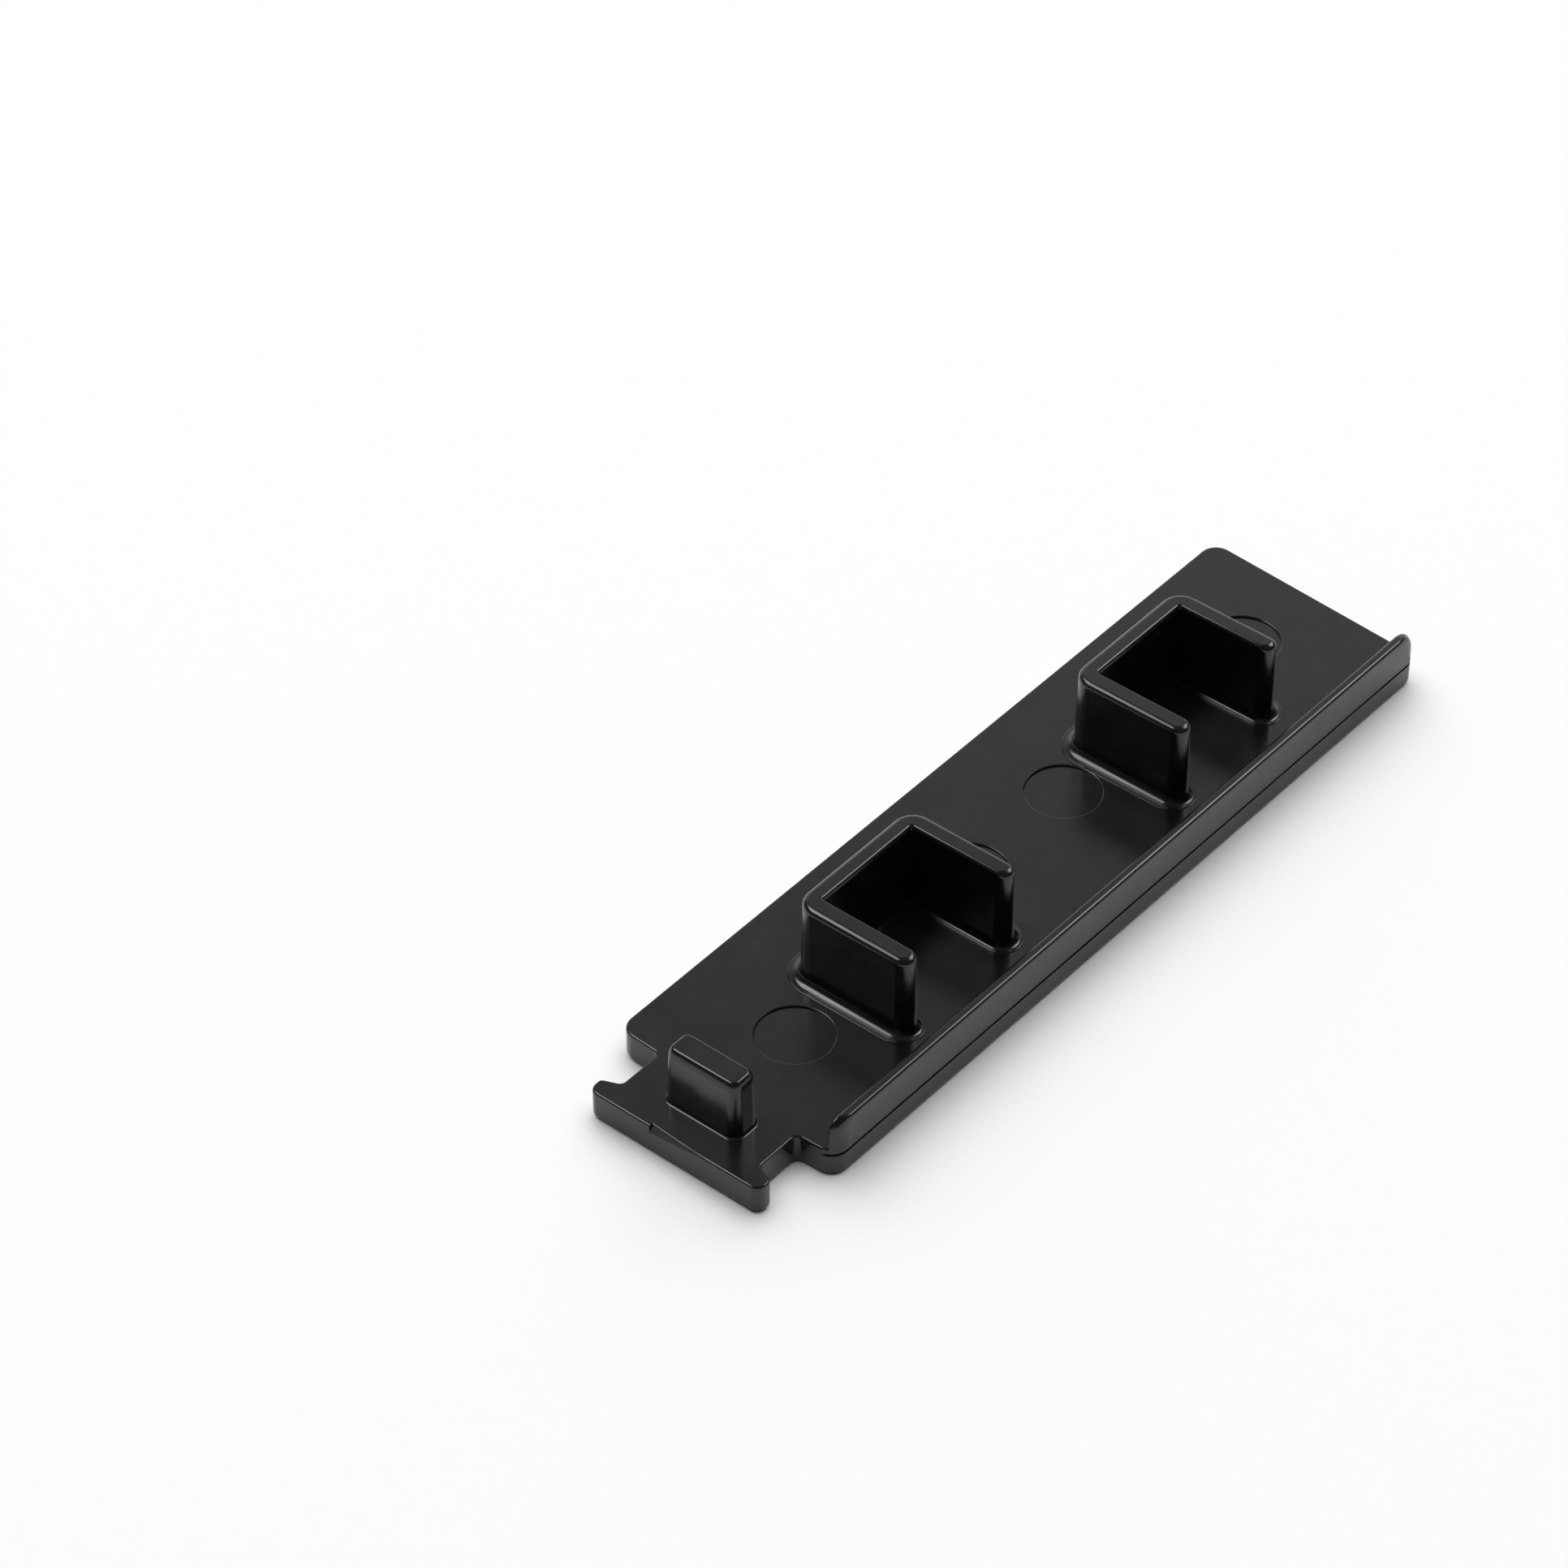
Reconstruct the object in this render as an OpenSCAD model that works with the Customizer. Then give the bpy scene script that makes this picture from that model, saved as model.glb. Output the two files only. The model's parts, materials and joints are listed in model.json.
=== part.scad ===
// End cap for a two-run aluminium ceiling curtain rail, one black moulding.
// It lies on its flat outer face with its inner face up, as it leaves the mould.
// This is one hand of a mirror-image pair, one for each end of the rail.
// Before it is centred, X runs from the face of the hook head along the plate, and Y from the
// lip edge to the plain edge.

/* [Plate] */
// Length from the face of the hook head to the plain end, along the plain edge
plate_length = 54; // [52:0.5:70]
// Width from the lip edge to the plain edge
plate_width = 14; // [13:0.25:18]
// Thickness of the plate
plate_thick = 1.8; // [1.5:0.1:2.4]
// How much shorter the plate is along its lip edge
end_slant = 0.8; // [0:0.1:2]
// Plan radius of the corners of the plate
plate_corner_r = 1; // [0.5:0.1:1.5]
// Plan radius of the corner where the lip meets the plain end
lip_corner_r = 0.6; // [0.5:0.1:1.2]
// Rounding all round the outer face, the one that shows on the rail
outer_edge_r = 0.3; // [0.1:0.05:0.4]
// Small break round the inner face
inner_edge_r = 0.1; // [0.05:0.05:0.2]

/* [Hook head] */
// Width across the hook head
head_width = 11; // [10:0.25:12]
// Thickness of the head at its two tips
head_tip = 0.95; // [0.9:0.05:1.2]
// Thickness of the head where it meets the neck
head_root = 1.4; // [1.2:0.05:1.6]
// Rounding of the head's tips in plan
head_tip_r = 0.45; // [0.42:0.01:0.5]
// Width of the neck
neck_width = 8.9; // [8:0.1:9.5]
// Length of the neck, from the head to the shoulders
neck_length = 2.85; // [2.4:0.05:3]
// How far the shoulders slope back from the neck to their outer corners
shoulder_slant = 0.1; // [0.05:0.05:0.3]
// Fillet in the corners at both ends of the neck
neck_fillet_r = 0.35; // [0.1:0.05:0.5]
// Middle of the head, neck and tab, from the lip edge
head_middle = 6.8; // [6.5:0.05:7]

/* [Lip] */
// Height of the lip above the inner face
lip_height = 1.8; // [1.4:0.1:3]
// Thickness of the lip
lip_thick = 0.6; // [0.5:0.05:0.9]
// Rounding along both top edges of the lip
lip_edge_r = 0.2; // [0.05:0.05:0.24]
// Rounding of the two ends of the lip, seen from its side
lip_end_r = 1.3; // [0.3:0.1:1.5]

/* [Channel bosses] */
// Outer length of a boss at its rim, along the plate
boss_length = 9.3; // [7:0.1:10]
// Outer width of a boss at its rim, from the back wall to the leg ends
boss_width = 7.25; // [5:0.25:8]
// Height of the bosses above the inner face
boss_height = 5; // [3:0.25:10]
// Wall of the bosses at the rim
boss_wall = 0.95; // [0.8:0.05:1.4]
// Draft of the boss walls, in degrees
boss_draft = 1.1; // [0:0.1:2]
// Plan radius of the two outer corners of a boss
boss_corner_r = 1; // [0.5:0.1:2]
// Rounding of the rim
boss_rim_r = 0.25; // [0.05:0.05:0.35]
// Fillet at the foot of the bosses
boss_foot_r = 0.3; // [0.1:0.05:0.4]
// Gap from the back walls to the plain edge
boss_setback = 4.25; // [4:0.25:5]
// Start of the first boss, from the face of the hook head
first_boss_x = 12.75; // [12:0.25:15]
// Start of the second boss
second_boss_x = 35.3; // [32:0.1:37]
// How much shorter the far leg of the first boss is
first_leg_step = 0.2; // [0:0.05:1]
// How much shorter the far leg of the second boss is
second_leg_step = 0.45; // [0:0.05:1]

/* [Locating tab] */
// Thickness of the tab along the plate
tab_thick = 1.45; // [1:0.05:1.6]
// Width of the tab
tab_width = 4.3; // [3:0.1:6]
// Height of the tab above the inner face
tab_height = 3.55; // [2:0.05:6]
// Gap from the face of the hook head to the tab
tab_inset = 2.05; // [1.95:0.05:2.2]
// Middle of the tab, off the middle of the head towards the lip
tab_shift = 0.15; // [0:0.05:0.4]
// Rounding of the edges of the tab
tab_edge_r = 0.35; // [0.1:0.05:0.4]
// Draft of the tab, in degrees
tab_draft = 1; // [0:0.1:2]
// Fillet at the foot of the tab
tab_foot_r = 0.15; // [0.05:0.05:0.3]

/* [Moulding marks] */
// Diameter of the four ejector marks on the inner face
pin_mark_d = 4.1; // [2:0.1:5]
// Depth of the ejector marks
pin_mark_depth = 0.08; // [0.02:0.01:0.2]
// Middle of the first mark, from the face of the hook head
first_mark_x = 9.5; // [8:0.1:10]
// Middle of the first mark, from the plain edge
first_mark_setback = 7.1; // [5:0.1:9]
// Middle of the second mark, beyond the far wall of the first boss
second_mark_gap = 2.5; // [2:0.1:4]
// Middle of the third mark, short of the second boss
third_mark_gap = 2.85; // [2:0.05:4]
// Middle of the fourth mark, beyond the far wall of the second boss
fourth_mark_gap = 3.6; // [2:0.1:5]
// Middles of the last three marks, from the plain edge
mark_setback = 6.25; // [5:0.05:8]
// Height of the parting line on the lip side, above the outer face
seam_height = 1.41; // [0.8:0.01:1.5]
// Height of the small groove along the parting line
seam_width = 0.16; // [0.1:0.02:0.3]
// Depth of the groove along the parting line
seam_depth = 0.08; // [0.04:0.02:0.2]
// Depth of the step where the sprue was trimmed off the head
trim_depth = 0.12; // [0.05:0.01:0.2]
// Start of the trimmed wedge, from the middle of the head towards the plain edge
trim_start = 1.5; // [1:0.1:2.5]
// Length of the trimmed wedge along the head
trim_length = 4.4; // [2:0.1:5]
// Height of the trimmed wedge
trim_height = 0.5; // [0.3:0.05:0.6]
// Gap from the inner face down to the trimmed wedge
trim_drop = 0.17; // [0.12:0.01:0.4]

/* [Hidden] */

cap_colour = "#26272a";
// Facets in a quarter turn: of plan corners, small plan corners, edges and foot fillets
corner_steps = 6;
fine_steps = 4;
edge_steps = 3;
// How far solids run into each other, or a cut runs past a face
overlap = 0.3;
// Plan radius that a corner keeps after its rim or foot is rounded
spare_r = 0.05;
// Flat left across the middle of a rounded leg end
leg_flat = 0.02;

shoulder_x = head_root + neck_length;
boss_depth = boss_height * tan(boss_draft);
boss_far_y = plate_width - boss_setback;
lip_top = plate_thick + lip_height;
first_end_x = first_boss_x + boss_length;
second_end_x = second_boss_x + boss_length;
// Middles of the ejector marks
pin_marks = [
    [first_mark_x, plate_width - first_mark_setback],
    [first_end_x + second_mark_gap, plate_width - mark_setback],
    [second_boss_x - third_mark_gap, plate_width - mark_setback],
    [second_end_x + fourth_mark_gap, plate_width - mark_setback]
];

// Unit vector from p to q, and the same turned to the left
function along(p, q) = (q - p) / norm(q - p);
function left(d) = [-d.y, d.x];

// Points of a rounded corner, each as [x, y, inward x, inward y].
// a, b and c are corners in counter-clockwise order, and b is [x, y, radius, steps].
function corner_arc(a, b, c) =
    let (
        v = [b.x, b.y],
        n1 = left(along([a.x, a.y], v)),
        n2 = left(along(v, [c.x, c.y])),
        turn = sign(n1.x * n2.y - n1.y * n2.x),
        middle = v + turn * b[2] * (n1 + n2) / (1 + n1 * n2),
        first = atan2(n1.y, n1.x),
        sweep = turn * acos(n1 * n2)
    )
    [for (i = [0 : b[3]])
        let (
            angle = first + sweep * i / b[3],
            inward = [cos(angle), sin(angle)],
            p = middle - turn * b[2] * inward
        )
        [p.x, p.y, inward.x, inward.y]];

// A closed outline with every corner rounded
function rounded(corners) =
    let (n = len(corners))
    [for (i = [0 : n - 1])
        each corner_arc(corners[(i + n - 1) % n], corners[i], corners[(i + 1) % n])];

// An outline drawn in by a distance, or out where that is negative
function drawn_in(outline, inset) = [for (p = outline) [p[0] + inset * p[2], p[1] + inset * p[3]]];

// A solid through the same outline at each [inset, height] of a profile, from the bottom up.
// The outline's second half runs back beside its first half, point for point, so the two flat
// ends are strips of four-sided faces between the halves.
module loft(outline, profile) {
    n = len(outline);
    levels = len(profile);
    points = [for (level = profile) each [for (p = drawn_in(outline, level[0])) [p.x, p.y, level[1]]]];
    sides = [for (k = [0 : levels - 2]) each [for (i = [0 : n - 1])
        let (j = (i + 1) % n)
        [k * n + i, (k + 1) * n + i, (k + 1) * n + j, k * n + j]]];
    strip = [for (i = [0 : n / 2 - 2]) [i, i + 1, n - 2 - i, n - 1 - i]];
    top = (levels - 1) * n;
    lid = [for (f = strip) [for (i = [3 : -1 : 0]) top + f[i]]];
    polyhedron(points, concat(strip, sides, lid), convexity = 6);
}

// Profile of a wall on the plate: filleted foot, draft, and a rounded rim at the given height
function wall_profile(height, depth, foot_r, rim_r) =
    let (slope = depth / height)
    concat(
        [[-foot_r - depth, plate_thick - overlap]],
        [for (i = [0 : edge_steps])
            let (a = 90 * i / edge_steps, z = foot_r * (1 - cos(a)))
            [slope * z - depth - foot_r * (1 - sin(a)), plate_thick + z]],
        [for (i = [0 : edge_steps])
            let (a = 90 * i / edge_steps, z = height - rim_r * (1 - sin(a)))
            [slope * z - depth + rim_r * (1 - cos(a)), plate_thick + z]]
    );

function plate_outline() =
    let (
        neck_lo = head_middle - neck_width / 2,
        neck_hi = head_middle + neck_width / 2,
        head_lo = head_middle - head_width / 2,
        head_hi = head_middle + head_width / 2
    )
    rounded([
        [0, head_lo, head_tip_r, fine_steps],
        [head_tip, head_lo, head_tip_r, fine_steps],
        [head_root, neck_lo, neck_fillet_r, fine_steps],
        [shoulder_x - shoulder_slant, neck_lo, neck_fillet_r, fine_steps],
        [shoulder_x, 0, plate_corner_r, corner_steps],
        [plate_length - end_slant, 0, lip_corner_r, corner_steps],
        [plate_length, plate_width, plate_corner_r, corner_steps],
        [shoulder_x, plate_width, plate_corner_r, corner_steps],
        [shoulder_x - shoulder_slant, neck_hi, neck_fillet_r, fine_steps],
        [head_root, neck_hi, neck_fillet_r, fine_steps],
        [head_tip, head_hi, head_tip_r, fine_steps],
        [0, head_hi, head_tip_r, fine_steps]
    ]);

// The plate with its neck and hook head, rounded round the outer face
module plate() {
    outer = [for (i = [0 : fine_steps])
        let (a = 90 * i / fine_steps)
        [outer_edge_r * (1 - sin(a)), outer_edge_r * (1 - cos(a))]];
    loft(plate_outline(), concat(outer, [[0, plate_thick - inner_edge_r], [inner_edge_r, plate_thick]]));
}

// The lip: a thin wall flush with the lip side, rounded along its top and at both ends.
// It is lofted through its thickness, and the plan corners of the plate trim its ends.
module lip() {
    far_x = plate_length - end_slant;
    elevation = rounded([
        [shoulder_x, plate_thick - overlap, lip_edge_r + spare_r, 1],
        [far_x, plate_thick - overlap, lip_edge_r + spare_r, 1],
        [far_x, lip_top, lip_end_r, corner_steps],
        [shoulder_x, lip_top, lip_end_r, corner_steps]
    ]);
    round_over = [for (i = [0 : edge_steps])
        let (a = 90 * i / edge_steps)
        [lip_edge_r * (1 - sin(a)), lip_edge_r * (1 - cos(a))]];
    last = len(round_over) - 1;
    profile = concat(
        [for (p = round_over) [p.x, p.y - lip_thick]],
        [for (i = [0 : last]) [round_over[last - i].x, -round_over[last - i].y]]
    );
    intersection() {
        rotate([90, 0, 0])
            loft(elevation, profile);
        linear_extrude(lip_top + overlap)
            polygon(drawn_in(plate_outline(), 0));
    }
}

// A boss: three drafted walls, open towards the lip, with rounded leg ends, rim and foot
module boss(start_x, end_x, leg_step) {
    near_y = boss_far_y - boss_width;
    far_leg_y = near_y + leg_step;
    leg_r = (boss_wall - leg_flat) / 2;
    inner_r = boss_foot_r + boss_depth + spare_r;
    outline = rounded([
        [start_x + boss_wall, near_y, leg_r, fine_steps],
        [start_x + boss_wall, boss_far_y - boss_wall, inner_r, corner_steps],
        [end_x - boss_wall, boss_far_y - boss_wall, inner_r, corner_steps],
        [end_x - boss_wall, far_leg_y, leg_r, fine_steps],
        [end_x, far_leg_y, leg_r, fine_steps],
        [end_x, boss_far_y, boss_corner_r, corner_steps],
        [start_x, boss_far_y, boss_corner_r, corner_steps],
        [start_x, near_y, leg_r, fine_steps]
    ]);
    loft(outline, wall_profile(boss_height, boss_depth, boss_foot_r, boss_rim_r));
}

// The tab, a solid block on the neck which enters the slot behind the rail's front lip
module tab() {
    lo = head_middle - tab_shift - tab_width / 2;
    hi = lo + tab_width;
    far = tab_inset + tab_thick;
    corner_r = tab_edge_r + spare_r;
    outline = rounded([
        [tab_inset, lo, corner_r, fine_steps],
        [far, lo, corner_r, fine_steps],
        [far, hi, corner_r, fine_steps],
        [tab_inset, hi, corner_r, fine_steps]
    ]);
    loft(outline, wall_profile(tab_height, tab_height * tan(tab_draft), tab_foot_r, tab_edge_r));
}

// Shallow round marks left by the ejector pins
module pin_marks() {
    for (mark = pin_marks)
        translate([mark.x, mark.y, plate_thick - pin_mark_depth])
            cylinder(d = pin_mark_d, h = 2 * pin_mark_depth, $fn = 64);
}

// Fine groove along the parting line of the mould, on the lip side and round its two corners
module seam() {
    translate([0, 0, seam_height - seam_width / 2])
        linear_extrude(seam_width)
            difference() {
                translate([shoulder_x - overlap, -overlap])
                    square([plate_length, plate_corner_r + overlap]);
                polygon(drawn_in(plate_outline(), seam_depth));
            }
}

// Wedge-shaped step in the face of the head, where the sprue was trimmed off
module trim_step() {
    start_y = head_middle + trim_start;
    top_z = plate_thick - trim_drop;
    rotate([90, 0, 90])
        translate([0, 0, -overlap])
            linear_extrude(overlap + trim_depth)
                polygon([
                    [start_y, top_z],
                    [start_y, top_z - trim_height],
                    [start_y - trim_length, top_z]
                ]);
}

module end_cap() {
    color(cap_colour)
        translate([-plate_length / 2, -plate_width / 2, 0]) {
            difference() {
                plate();
                pin_marks();
                seam();
                trim_step();
            }
            lip();
            boss(first_boss_x, first_end_x, first_leg_step);
            boss(second_boss_x, second_end_x, second_leg_step);
            tab();
        }
}

end_cap();
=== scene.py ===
"""Curtain rail end cap: one black ABS moulding, lying on its outer face on a pale studio floor.

The packed model gives the main sizes and the places of the bosses and the tab. A finer mesh of
the same form stands for its solid, with the roundings and marks that the mould leaves.
"""

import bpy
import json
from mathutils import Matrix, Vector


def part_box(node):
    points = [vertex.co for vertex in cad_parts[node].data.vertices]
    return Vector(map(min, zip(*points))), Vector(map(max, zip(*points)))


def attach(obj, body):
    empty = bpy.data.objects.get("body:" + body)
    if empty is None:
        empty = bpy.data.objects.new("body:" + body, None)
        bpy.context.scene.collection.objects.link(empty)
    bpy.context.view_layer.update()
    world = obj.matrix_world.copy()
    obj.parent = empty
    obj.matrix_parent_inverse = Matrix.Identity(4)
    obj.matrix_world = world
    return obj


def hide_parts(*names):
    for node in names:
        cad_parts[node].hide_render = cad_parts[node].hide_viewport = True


bl_info = {
    "name": "Curtain rail end cap",
    "version": (1, 0, 0),
    "blender": (4, 5, 0),
    "location": "View3D > Sidebar > End cap",
    "description": "Fine mesh, moulded finish and studio for a curtain rail end cap",
    "category": "Object",
}

import json
import math
from typing import NamedTuple

import bmesh
import bpy
from bpy.props import FloatProperty, FloatVectorProperty, PointerProperty
from mathutils import Matrix, Vector

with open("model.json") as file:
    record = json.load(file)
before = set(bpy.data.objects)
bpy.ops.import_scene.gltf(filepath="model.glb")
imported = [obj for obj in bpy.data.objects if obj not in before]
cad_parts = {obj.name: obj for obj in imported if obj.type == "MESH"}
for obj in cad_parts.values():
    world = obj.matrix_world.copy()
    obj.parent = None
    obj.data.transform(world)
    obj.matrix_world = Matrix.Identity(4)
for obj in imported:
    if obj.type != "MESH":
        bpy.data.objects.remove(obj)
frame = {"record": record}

MM = 0.001
CAP = "end_cap"
BODY = "root"
# The origin lies at the middle of the plate, before its corners are rounded off
LOW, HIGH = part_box(CAP)
MOUNTS = {mount["name"]: Vector(mount["pos_m"]) for mount in frame["record"]["mounts"]}
INNER_Z = MOUNTS["rail_end_face"].z

# Segments in a quarter turn: of plan corners, of edges and foot fillets, and of tiny edges
CORNER_STEPS = 12
EDGE_STEPS = 8
TINY_STEPS = 4
# Fewest segments in a plan corner that turns by less
LEAST_STEPS = 3
# Decimals of points in metres, so that faces meant to be level with each other are exactly so
DECIMALS = 9
# Longest straight step along the outline of the plate
OUTLINE_GAP = 1.0 * MM
# How far solids run into each other, and a cutter past a face
OVERLAP = 0.3 * MM
# How far a foot fillet starts below its face, so that the two surfaces cross
DIP = 0.001 * MM
# Plan radius that a corner keeps when it is drawn past its own
SPARE_R = 0.02 * MM
# Share of its size that the trimmed wedge keeps at its thin end
SPARE_SHARE = 0.02
# Groove of the parting line, as shares: heights from its middle up to its rims, and depths
SEAM_PROFILE = ((-1, 0), (-0.8, 0.9), (0, 1), (0.8, 0.9), (1, 0))
# How squarely a side faces the lip edge where that groove first has its full depth
SEAM_FACING = 0.4
# Sides of a round ejector mark
MARK_SIDES = 96
# Corners whose faces meet at less than this are shaded as one surface
CREASE = math.radians(38)
# Faces that bend by less than this are level, and a run of them this wide is shaded dead flat
LEVEL_ANGLE = math.radians(0.2)
FLAT_WIDTH = 0.18 * MM
# Nearest distance that the camera shows
CLIP_START = 0.01


def linear(hex_colour):
    """Linear RGBA of an sRGB colour written as #rrggbb."""
    channels = [int(hex_colour[i : i + 2], 16) / 255 for i in (1, 3, 5)]
    return [c / 12.92 if c <= 0.04045 else ((c + 0.055) / 1.055) ** 2.4 for c in channels] + [1.0]


def size(name, description, default):
    """A size in metres for a property group, shown to a thousandth of a millimetre."""
    return FloatProperty(
        name=name, description=description, default=default, unit="LENGTH", precision=6,
    )


def position(name, description, point):
    """A point in metres for a property group."""
    return FloatVectorProperty(
        name=name, description=description, default=point, size=3, subtype="TRANSLATION",
        precision=6,
    )


def angle(name, description, degrees):
    """An angle for a property group."""
    return FloatProperty(
        name=name, description=description, default=math.radians(degrees), subtype="ANGLE",
    )


def number(name, description, default):
    """A plain number for a property group."""
    return FloatProperty(name=name, description=description, default=default, min=0.0)


def colour(name, description, hex_colour):
    """A colour for a property group, written as an sRGB hex value."""
    return FloatVectorProperty(
        name=name, description=description, default=linear(hex_colour), size=4, subtype="COLOR",
        min=0.0, max=1.0,
    )


class PlateSizes(bpy.types.PropertyGroup):
    """Sizes of the plate that closes the end of the rail"""

    length: size("Length", "From the face of the hook head to the plain end", -2 * LOW.x)
    width: size("Width", "From the lip edge to the plain edge", HIGH.y - LOW.y)
    thick: size("Thickness", "From the outer face to the inner face", INNER_Z)
    end_slant: size("End slant", "How much shorter the plate is along its lip edge", 0.8 * MM)
    corner_r: size("Corner radius", "Plan radius of the corners", 1.0 * MM)
    lip_corner_r: size("Lip corner radius", "Plan radius of the lip's far corner", 0.6 * MM)
    outer_edge_r: size("Outer edge radius", "Rounding round the outer face", 0.35 * MM)
    inner_edge_r: size("Inner edge radius", "Rounding round the inner face", 0.13 * MM)


class HeadSizes(bpy.types.PropertyGroup):
    """Sizes of the hook head and its neck"""

    width: size("Width", "Width across the head", 11.0 * MM)
    tip: size("Tip", "Thickness at the two tips", 0.95 * MM)
    root: size("Root", "Thickness where the head meets the neck", 1.4 * MM)
    tip_r: size("Tip radius", "Plan rounding of the tips, on the face of the head", 0.58 * MM)
    tip_back_r: size("Tip back radius", "Plan rounding of the tips, on the neck side", 0.3 * MM)
    neck_width: size("Neck width", "Width of the neck", 8.9 * MM)
    neck_length: size("Neck length", "From the head to the shoulders", 2.85 * MM)
    shoulder_slant: size("Shoulder slant", "How far the shoulders slope back", 0.1 * MM)
    fillet_r: size("Fillet radius", "Fillet in the corners at both ends of the neck", 0.35 * MM)
    middle: size("Middle", "Middle of the head from the lip edge", 6.8 * MM)
    trim_depth: size("Trim depth", "Depth of the wedge left by the trimmed sprue", 0.2 * MM)
    trim_start: size("Trim start", "Start of the wedge from the middle of the head", 1.5 * MM)
    trim_length: size("Trim length", "Length of the wedge along the head", 4.4 * MM)
    trim_edge: size("Trim edge", "Width of the broken edge above the wedge", 0.1 * MM)
    trim_fall: angle("Trim fall", "Angle of that edge from the inner face", 30)
    trim_height: size("Trim height", "Height of the wedge", 0.42 * MM)


class LipSizes(bpy.types.PropertyGroup):
    """Sizes of the lip along one long edge"""

    height: size("Height", "Height above the inner face", MOUNTS["lip"].z - INNER_Z)
    thick: size("Thickness", "Thickness of the lip", 0.6 * MM)
    edge_r: size("Edge radius", "Rounding along both top edges", 0.2 * MM)
    hook_end_r: size("Hook end radius", "Rounding of the end at the hook, from the side", 0.8 * MM)
    plain_end_r: size("Plain end radius", "Rounding of the other end, from the side", 1.3 * MM)
    foot_r: size("Foot radius", "Fillet along the inside of the lip", 0.15 * MM)
    set_in: size("Set-in", "How far the ends stand back from the plate's corners", 0.01 * MM)


class BossSizes(bpy.types.PropertyGroup):
    """Sizes of the two channel bosses"""

    length: size("Length", "Outer length at the rim, along the plate", 9.3 * MM)
    width: size("Width", "Outer width at the rim, from the back wall to the leg ends", 7.25 * MM)
    wall: size("Wall", "Leg on the hook side, at the rim", 1.22 * MM)
    far_wall: size("Far wall", "Leg on the plain side, at the rim", 1.12 * MM)
    back_wall: size("Back wall", "Wall across the back, at the rim", 1.03 * MM)
    draft: angle("Draft", "Draft of the walls", 1.1)
    corner_r: size("Corner radius", "Plan radius of the outer corners", 1.2 * MM)
    inner_r: size("Inner radius", "Plan radius of the inner corners", 0.08 * MM)
    leg_round: number(
        "Leg rounding", "Radius of the leg ends on their hook side, as a share of the wall", 0.54,
    )
    rim_r: size("Rim radius", "Rounding of the rim", 0.33 * MM)
    inner_rim_share: number("Inner rim share", "Reach of the rim's rounding inside the boss", 0.6)
    end_rim_share: number("End rim share", "Reach of the rim's rounding at the leg ends", 1.25)
    inner_foot_share: number("Inner foot share", "Reach of the foot's fillet inside the boss", 0.42)
    end_foot_share: number("End foot share", "Reach of the foot's fillet at the leg ends", 0.6)
    foot_r: size("Foot radius", "Fillet at the foot", 0.54 * MM)
    foot_step: size("Foot step", "Height and rounding of the low step under the foot", 0.05 * MM)
    foot_ledge: size("Foot ledge", "Width of the ledge between the fillet and that step", 0.08 * MM)
    first_step: size("First leg step", "How much shorter the first boss's far leg is", 0.2 * MM)
    second_step: size("Second leg step", "How much shorter the second boss's far leg is", 0.45 * MM)


class TabSizes(bpy.types.PropertyGroup):
    """Sizes of the locating tab on the neck"""

    thick: size("Thickness", "Thickness along the plate, at the top", 1.68 * MM)
    width: size("Width", "Width across the plate, at the top", 4.52 * MM)
    draft: angle("Draft", "Draft of the sides", 1.8)
    corner_r: size("Corner radius", "Plan radius of the corners", 0.5 * MM)
    rim_inset: size("Rim inset", "How far the rounding of the top reaches in", 0.28 * MM)
    rim_drop: size("Rim drop", "How far that rounding runs down the sides", 0.6 * MM)
    foot_r: size("Foot radius", "Fillet at the foot", 0.15 * MM)


class MouldMarks(bpy.types.PropertyGroup):
    """Marks that the mould leaves"""

    pin_d: size("Pin diameter", "Diameter of the ejector marks", 4.1 * MM)
    pin_depth: size("Pin depth", "Depth of the ejector marks", 0.1 * MM)
    pin_edge_r: size("Pin edge radius", "Rounding of the rims of the ejector marks", 0.08 * MM)
    first_x: size("First mark", "Middle of the first mark, from the hook head", 9.5 * MM)
    first_setback: size("First setback", "Middle of the first mark, from the plain edge", 7.1 * MM)
    second_gap: size("Second gap", "Middle of the second mark, beyond the first boss", 2.5 * MM)
    third_gap: size("Third gap", "Middle of the third mark, short of the second boss", 2.85 * MM)
    fourth_gap: size("Fourth gap", "Middle of the fourth mark, beyond the second boss", 3.6 * MM)
    setback: size("Setback", "Middles of the last three marks, from the plain edge", 6.25 * MM)
    seam_height: size("Seam height", "Height of the parting line on the lip side", 1.41 * MM)
    seam_width: size("Seam width", "Height of the groove along the parting line", 0.16 * MM)
    seam_depth: size("Seam depth", "Greatest depth of the groove along the parting line", 0.14 * MM)
    seam_least: number("Seam least", "Share of that depth that is left at both ends", 0.6)
    seam_middle: size("Seam middle", "Where the groove is deepest, from the hook head", 25 * MM)
    seam_reach: size("Seam reach", "How far from there the groove stays deep", 8 * MM)


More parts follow.
